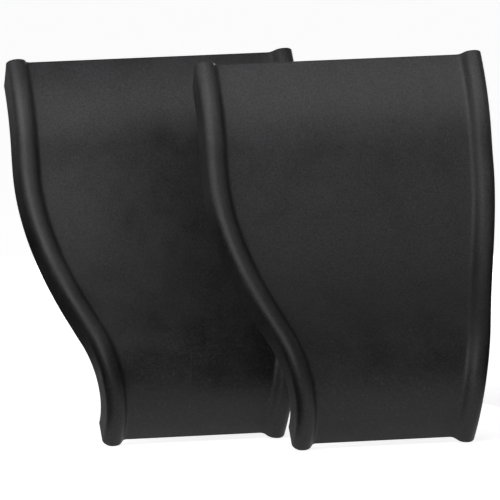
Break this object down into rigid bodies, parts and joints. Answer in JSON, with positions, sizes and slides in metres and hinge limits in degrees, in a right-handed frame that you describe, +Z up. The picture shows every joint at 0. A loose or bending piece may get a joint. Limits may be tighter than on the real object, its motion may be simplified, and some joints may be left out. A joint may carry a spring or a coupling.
{
  "type": "wheel guard plate pair",
  "caption": "Matching S-curved black plastic wheel guard plates, wide at the top and narrower at the foot, with a rounded bead and turned-back skirt down each side.",
  "frame": {"origin": "middle of the pair's common base, on the surface that both feet stand on", "axes": "+Z up, -Y towards the front of both plates, +X across them to the right as seen from the front"},
  "size_m": [0.896, 0.6154, 0.7705],
  "materials": {
    "black_polyethylene": "satin moulded black polyethylene with a fine grain"
  },
  "bodies": {
    "root": {"front_plate": "black_polyethylene", "rear_plate": "black_polyethylene"}
  },
  "joints": []
}
